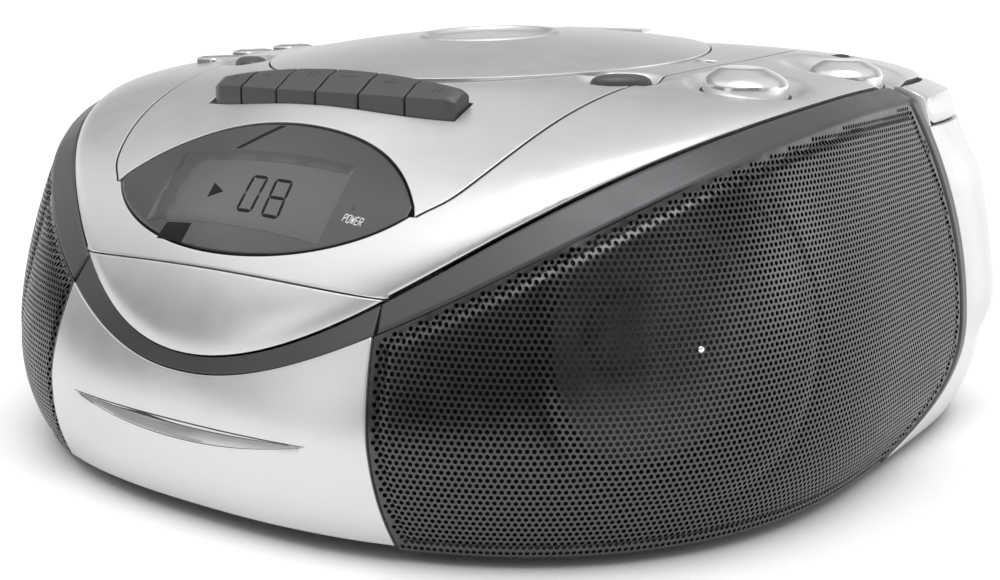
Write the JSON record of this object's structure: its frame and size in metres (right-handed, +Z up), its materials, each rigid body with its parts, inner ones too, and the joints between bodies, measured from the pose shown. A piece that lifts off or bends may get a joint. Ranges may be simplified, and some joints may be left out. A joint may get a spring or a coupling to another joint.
{
  "type": "portable cd and cassette radio",
  "caption": "Oval portable CD and cassette radio with front cassette door, top CD lid, piano keys, two knobs, speaker grilles, handle and aerial.",
  "frame": {"origin": "centre of the footprint, on the surface the feet stand on", "axes": "+X to the listener's right along the width, +Y to the rear, +Z up"},
  "size_m": [0.2994, 0.2685, 0.1318],
  "materials": {
    "silver_shell": "satin silver paint on moulded plastic",
    "silver_knob": "brighter silver paint",
    "graphite": "satin graphite plastic",
    "black_plastic": "fine textured black plastic",
    "speaker_frame": "black painted pressed steel",
    "cone_paper": "doped paper",
    "grille_steel": "black perforated steel sheet",
    "window_tint": "smoked clear plastic",
    "lcd_glass": "display glass",
    "rubber_foot": "moulded rubber",
    "plated_steel": "zinc plated",
    "chrome_aerial": "bright chrome",
    "turned_brass": "turned brass",
    "circuit_board": "green solder resist"
  },
  "bodies": {
    "root": {"top_shell": "silver_shell", "control_deck": "silver_shell", "lcd_window": "window_tint", "right_speaker_trim": "graphite", "left_speaker_trim": "graphite", "right_speaker_grille": "grille_steel", "left_speaker_grille": "grille_steel", "rear_shell": "silver_shell", "base_pan": "black_plastic", "battery_contact": "plated_steel", "foot_front_left": "rubber_foot", "foot_front_right": "rubber_foot", "foot_rear_left": "rubber_foot", "foot_rear_right": "rubber_foot", "mechanism_plate": "plated_steel", "drive_motor": "plated_steel", "cd_well": "black_plastic", "spindle_motor": "plated_steel", "cd_chassis": "plated_steel", "display_board": "circuit_board", "lcd_module": "lcd_glass", "right_speaker_basket": "speaker_frame", "left_speaker_basket": "speaker_frame", "right_speaker_cone": "cone_paper", "left_speaker_cone": "cone_paper", "main_board": "circuit_board", "power_transformer": "plated_steel", "mains_inlet": "black_plastic"},
    "cassette_door": {"door_lower_panel": "silver_shell", "door_band": "graphite", "door_crescent": "silver_shell", "cassette_holder": "black_plastic"},
    "cd_lid": {"cd_lid": "silver_shell", "disc_clamp": "black_plastic"},
    "aerial": {"aerial_post": "chrome_aerial", "aerial_sleeve": "chrome_aerial"},
    "record_key": {"record_key": "graphite"},
    "play_key": {"play_key": "graphite"},
    "rewind_key": {"rewind_key": "graphite"},
    "forward_key": {"forward_key": "graphite"},
    "stop_key": {"stop_key": "graphite"},
    "pause_key": {"pause_key": "graphite"},
    "turntable": {"turntable": "black_plastic"},
    "laser_pickup": {"laser_pickup": "black_plastic"},
    "volume_knob": {"volume_knob": "silver_knob"},
    "tuning_knob": {"tuning_knob": "silver_knob"},
    "right_oval_button": {"right_oval_button": "graphite"},
    "left_oval_button": {"left_oval_button": "graphite"},
    "cd_play_button": {"cd_play_button": "graphite"},
    "cd_skip_button": {"cd_skip_button": "graphite"},
    "cd_search_button": {"cd_search_button": "graphite"},
    "band_switch": {"band_switch": "black_plastic"},
    "head_plate": {"head_plate": "plated_steel"},
    "supply_reel": {"supply_reel": "black_plastic"},
    "takeup_reel": {"takeup_reel": "black_plastic"},
    "capstan_flywheel": {"capstan_flywheel": "turned_brass"},
    "motor_pulley": {"motor_pulley": "turned_brass"},
    "carry_handle": {"carry_handle": "silver_shell"},
    "aerial_rod": {"aerial_rod": "chrome_aerial"},
    "battery_cover": {"battery_cover": "black_plastic"}
  },
  "joints": [
    {"name": "cassette_door_hinge", "type": "hinge", "parent": "root", "child": "cassette_door", "pos_m": [0, -0.11925, 0.008], "axis": [1, 0, 0], "range_deg": [0, 30]},
    {"name": "record_key_tilt", "type": "hinge", "parent": "root", "child": "record_key", "pos_m": [-0.03975, -0.06375, 0.119], "axis": [1, 0, 0], "range_deg": [0, 9], "stiffness_Nm_per_rad": 0.3},
    {"name": "play_key_tilt", "type": "hinge", "parent": "root", "child": "play_key", "pos_m": [-0.02385, -0.06375, 0.119], "axis": [1, 0, 0], "range_deg": [0, 9], "stiffness_Nm_per_rad": 0.01},
    {"name": "rewind_key_tilt", "type": "hinge", "parent": "root", "child": "rewind_key", "pos_m": [-0.00795, -0.06375, 0.119], "axis": [1, 0, 0], "range_deg": [0, 9], "stiffness_Nm_per_rad": 0.3},
    {"name": "forward_key_tilt", "type": "hinge", "parent": "root", "child": "forward_key", "pos_m": [0.00795, -0.06375, 0.119], "axis": [1, 0, 0], "range_deg": [0, 9], "stiffness_Nm_per_rad": 0.3},
    {"name": "stop_key_tilt", "type": "hinge", "parent": "root", "child": "stop_key", "pos_m": [0.02385, -0.06375, 0.119], "axis": [1, 0, 0], "range_deg": [0, 9], "stiffness_Nm_per_rad": 0.3},
    {"name": "pause_key_tilt", "type": "hinge", "parent": "root", "child": "pause_key", "pos_m": [0.03975, -0.06375, 0.119], "axis": [1, 0, 0], "range_deg": [0, 9], "stiffness_Nm_per_rad": 0.3},
    {"name": "cd_lid_hinge", "type": "hinge", "parent": "root", "child": "cd_lid", "pos_m": [0, 0.09025, 0.1297], "axis": [-1, 0, 0], "range_deg": [0, 70]},
    {"name": "turntable_spin", "type": "hinge", "parent": "root", "child": "turntable", "pos_m": [0, 0.01375, 0.12388], "axis": [0, -0.0549, 0.9985], "continuous": true},
    {"name": "laser_pickup_slide", "type": "slide", "parent": "root", "child": "laser_pickup", "axis": [0, -0.9985, -0.0549], "range_m": [0, 0.0145]},
    {"name": "volume_knob_turn", "type": "hinge", "parent": "root", "child": "volume_knob", "pos_m": [0.105, -0.00725, 0.1135], "axis": [0, 0, -1], "range_deg": [-150, 150]},
    {"name": "tuning_knob_turn", "type": "hinge", "parent": "root", "child": "tuning_knob", "pos_m": [0.112, 0.05075, 0.1135], "axis": [0, 0, -1], "range_deg": [-150, 150]},
    {"name": "right_oval_button_press", "type": "slide", "parent": "root", "child": "right_oval_button", "axis": [0, 0, -1], "range_m": [0, 0.0013], "stiffness_N_per_m": 300},
    {"name": "left_oval_button_press", "type": "slide", "parent": "root", "child": "left_oval_button", "axis": [0, 0, -1], "range_m": [0, 0.0013], "stiffness_N_per_m": 300},
    {"name": "cd_play_button_press", "type": "slide", "parent": "root", "child": "cd_play_button", "axis": [0, 0, -1], "range_m": [0, 0.0013], "stiffness_N_per_m": 300},
    {"name": "cd_skip_button_press", "type": "slide", "parent": "root", "child": "cd_skip_button", "axis": [0, 0, -1], "range_m": [0, 0.0013], "stiffness_N_per_m": 300},
    {"name": "cd_search_button_press", "type": "slide", "parent": "root", "child": "cd_search_button", "axis": [0, 0, -1], "range_m": [0, 0.0013], "stiffness_N_per_m": 300},
    {"name": "band_switch_slide", "type": "slide", "parent": "root", "child": "band_switch", "axis": [0, 1, 0], "range_m": [0, 0.009]},
    {"name": "head_plate_slide", "type": "slide", "parent": "root", "child": "head_plate", "axis": [0, 0, -1], "range_m": [0, 0.0039], "stiffness_N_per_m": 40},
    {"name": "supply_reel_spin", "type": "hinge", "parent": "root", "child": "supply_reel", "pos_m": [-0.02125, -0.09625, 0.0425], "axis": [0, -1, 0], "continuous": true},
    {"name": "takeup_reel_spin", "type": "hinge", "parent": "root", "child": "takeup_reel", "pos_m": [0.02125, -0.09625, 0.0425], "axis": [0, -1, 0], "continuous": true},
    {"name": "capstan_spin", "type": "hinge", "parent": "root", "child": "capstan_flywheel", "pos_m": [0.034, -0.09625, 0.0625], "axis": [0, -1, 0], "continuous": true},
    {"name": "motor_pulley_spin", "type": "hinge", "parent": "root", "child": "motor_pulley", "pos_m": [-0.038, -0.08425, 0.0555], "axis": [0, -1, 0], "continuous": true},
    {"name": "carry_handle_hinge", "type": "hinge", "parent": "root", "child": "carry_handle", "pos_m": [0, 0.06225, 0.1093], "axis": [1, 0, 0], "range_deg": [0, 90]},
    {"name": "aerial_swing", "type": "hinge", "parent": "root", "child": "aerial", "pos_m": [0.088, 0.12965, 0.0975], "axis": [0, 1, 0], "range_deg": [0, 180]},
    {"name": "aerial_extend", "type": "slide", "parent": "aerial", "child": "aerial_rod", "axis": [-1, 0, 0], "range_m": [0, 0.13]},
    {"name": "battery_cover_slide", "type": "slide", "parent": "root", "child": "battery_cover", "axis": [0, 1, 0], "range_m": [0, 0.08]}
  ],
  "couplings": [
    {"joint": "play_key_tilt", "follows": "head_plate_slide", "rad_per_m": 40.277},
    {"joint": "motor_pulley_spin", "follows": "capstan_spin", "ratio": 4.8571}
  ]
}
